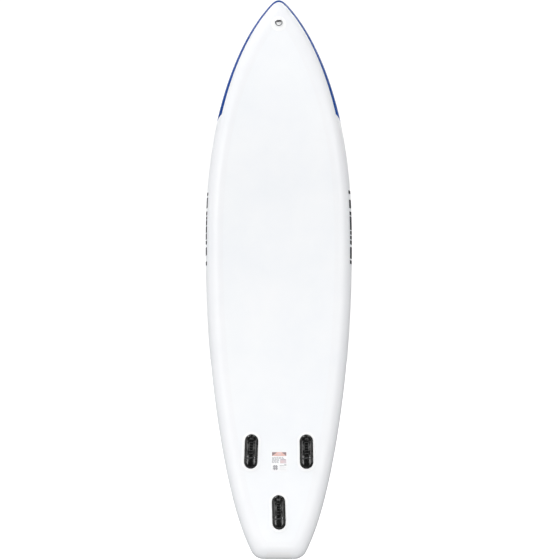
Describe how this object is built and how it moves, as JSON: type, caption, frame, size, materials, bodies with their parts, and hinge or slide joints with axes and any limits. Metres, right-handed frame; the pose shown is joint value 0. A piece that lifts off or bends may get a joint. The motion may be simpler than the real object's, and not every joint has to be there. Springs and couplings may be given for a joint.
{
  "type": "stand up paddleboard",
  "caption": "Inflatable stand up paddleboard with pointed nose, squash tail, slide-in fin boxes with latches, tow ring, deck pads, inflation valve and carry handle.",
  "frame": {"origin": "on the hull's flat face, on the centreline, halfway along the board", "axes": "+Z along the board to the nose, +Y from the hull to the deck, +X to the port side"},
  "size_m": [0.8304, 0.3113, 3.1814],
  "materials": {
    "pvc_white": "satin",
    "patch_white": "satin",
    "drop_stitch_fabric": "matte",
    "thread": "matte",
    "blue_band": "satin",
    "label": "satin",
    "eva_grey": "matte",
    "eva_dark": "matte",
    "black_plastic": "gloss",
    "latch_plastic": "satin",
    "steel": "polished",
    "webbing": "matte",
    "neoprene": "matte",
    "valve_plastic": "satin",
    "valve_blue": "gloss",
    "seal_rubber": "matte"
  },
  "bodies": {
    "board": {"hull_skin": "pvc_white", "deck_skin": "pvc_white", "rail_port": "pvc_white", "rail_starboard": "pvc_white", "tail_patch": "pvc_white", "fin_patches": "patch_white", "tow_ring_patch": "patch_white", "cargo_patches": "patch_white", "leash_patch": "patch_white", "handle_patches": "patch_white", "hull_fabric": "drop_stitch_fabric", "deck_fabric": "drop_stitch_fabric", "inner_rail_port": "drop_stitch_fabric", "inner_rail_starboard": "drop_stitch_fabric", "drop_threads": "thread", "handle_stitches": "thread", "nose_band": "blue_band", "info_label": "label", "pad_front": "eva_grey", "pad_mid_port": "eva_grey", "pad_mid_starboard": "eva_grey", "pad_rear": "eva_grey", "pad_tail": "eva_grey", "kick_ridge": "eva_dark", "fin_box_starboard": "black_plastic", "fin_box_port": "black_plastic", "fin_box_centre": "black_plastic", "fin_pins": "steel", "tow_ring_strap": "webbing", "cargo_straps": "webbing", "leash_strap": "webbing", "handle_tabs": "webbing", "valve_body": "valve_plastic", "valve_nut": "valve_plastic", "cap_tether": "valve_plastic", "valve_gasket": "seal_rubber"},
    "tow_ring": {"tow_ring": "steel"},
    "cargo_ring_1": {"cargo_ring_1": "steel"},
    "cargo_ring_2": {"cargo_ring_2": "steel"},
    "cargo_ring_3": {"cargo_ring_3": "steel"},
    "cargo_ring_4": {"cargo_ring_4": "steel"},
    "leash_ring": {"leash_ring": "steel"},
    "latch_starboard": {"fin_latch_starboard": "latch_plastic"},
    "latch_port": {"fin_latch_port": "latch_plastic"},
    "latch_centre": {"fin_latch_centre": "latch_plastic"},
    "valve_stem": {"valve_plunger": "valve_blue", "valve_seal": "seal_rubber", "valve_spring": "steel"},
    "valve_button": {"valve_button": "valve_blue"},
    "valve_cap": {"valve_cap": "valve_plastic", "cap_gasket": "seal_rubber"},
    "handle": {"handle_strap": "webbing", "handle_grip": "neoprene"}
  },
  "joints": [
    {"name": "tow_ring_swing", "type": "hinge", "parent": "board", "child": "tow_ring", "pos_m": [0, 0.12086, 1.4686], "axis": [-1, 0, 0], "range_deg": [0, 165]},
    {"name": "cargo_ring_1_swing", "type": "hinge", "parent": "board", "child": "cargo_ring_1", "pos_m": [0.165, 0.18078, 1.02932], "axis": [1, 0, 0], "range_deg": [-8.7, 160]},
    {"name": "cargo_ring_2_swing", "type": "hinge", "parent": "board", "child": "cargo_ring_2", "pos_m": [-0.165, 0.18078, 1.02932], "axis": [1, 0, 0], "range_deg": [-8.7, 160]},
    {"name": "cargo_ring_3_swing", "type": "hinge", "parent": "board", "child": "cargo_ring_3", "pos_m": [0.215, 0.15595, 0.6899], "axis": [1, 0, 0], "range_deg": [0, 160]},
    {"name": "cargo_ring_4_swing", "type": "hinge", "parent": "board", "child": "cargo_ring_4", "pos_m": [-0.215, 0.15595, 0.6899], "axis": [1, 0, 0], "range_deg": [0, 160]},
    {"name": "leash_ring_swing", "type": "hinge", "parent": "board", "child": "leash_ring", "pos_m": [0, 0.15517, -1.45596], "axis": [1, 0, 0], "range_deg": [0, 165]},
    {"name": "latch_starboard_turn", "type": "hinge", "parent": "board", "child": "latch_starboard", "pos_m": [-0.13828, -0.013, -1.01174], "axis": [0, -1, 0], "range_deg": [0, 95]},
    {"name": "latch_port_turn", "type": "hinge", "parent": "board", "child": "latch_port", "pos_m": [0.1774, -0.013, -1.01175], "axis": [0, -1, 0], "range_deg": [0, 95]},
    {"name": "latch_centre_turn", "type": "hinge", "parent": "board", "child": "latch_centre", "pos_m": [0.02086, -0.013, -1.35647], "axis": [0, -1, 0], "range_deg": [0, 95]},
    {"name": "valve_push", "type": "slide", "parent": "board", "child": "valve_stem", "axis": [0, -1, 0], "range_m": [0, 0.008], "stiffness_N_per_m": 350, "springref_m": -0.006, "deforming": ["valve_spring"]},
    {"name": "valve_button_turn", "type": "hinge", "parent": "valve_stem", "child": "valve_button", "pos_m": [0.096, 0.133, -1.375], "axis": [0, -1, 0], "range_deg": [0, 60]},
    {"name": "valve_cap_flip", "type": "hinge", "parent": "board", "child": "valve_cap", "pos_m": [0.1305, 0.158, -1.375], "axis": [0, 0, -1], "range_deg": [0, 150]},
    {"name": "handle_swing", "type": "hinge", "parent": "board", "child": "handle", "pos_m": [0, 0.1556, 0], "axis": [0, 0, 1], "range_deg": [-45, 45]}
  ]
}
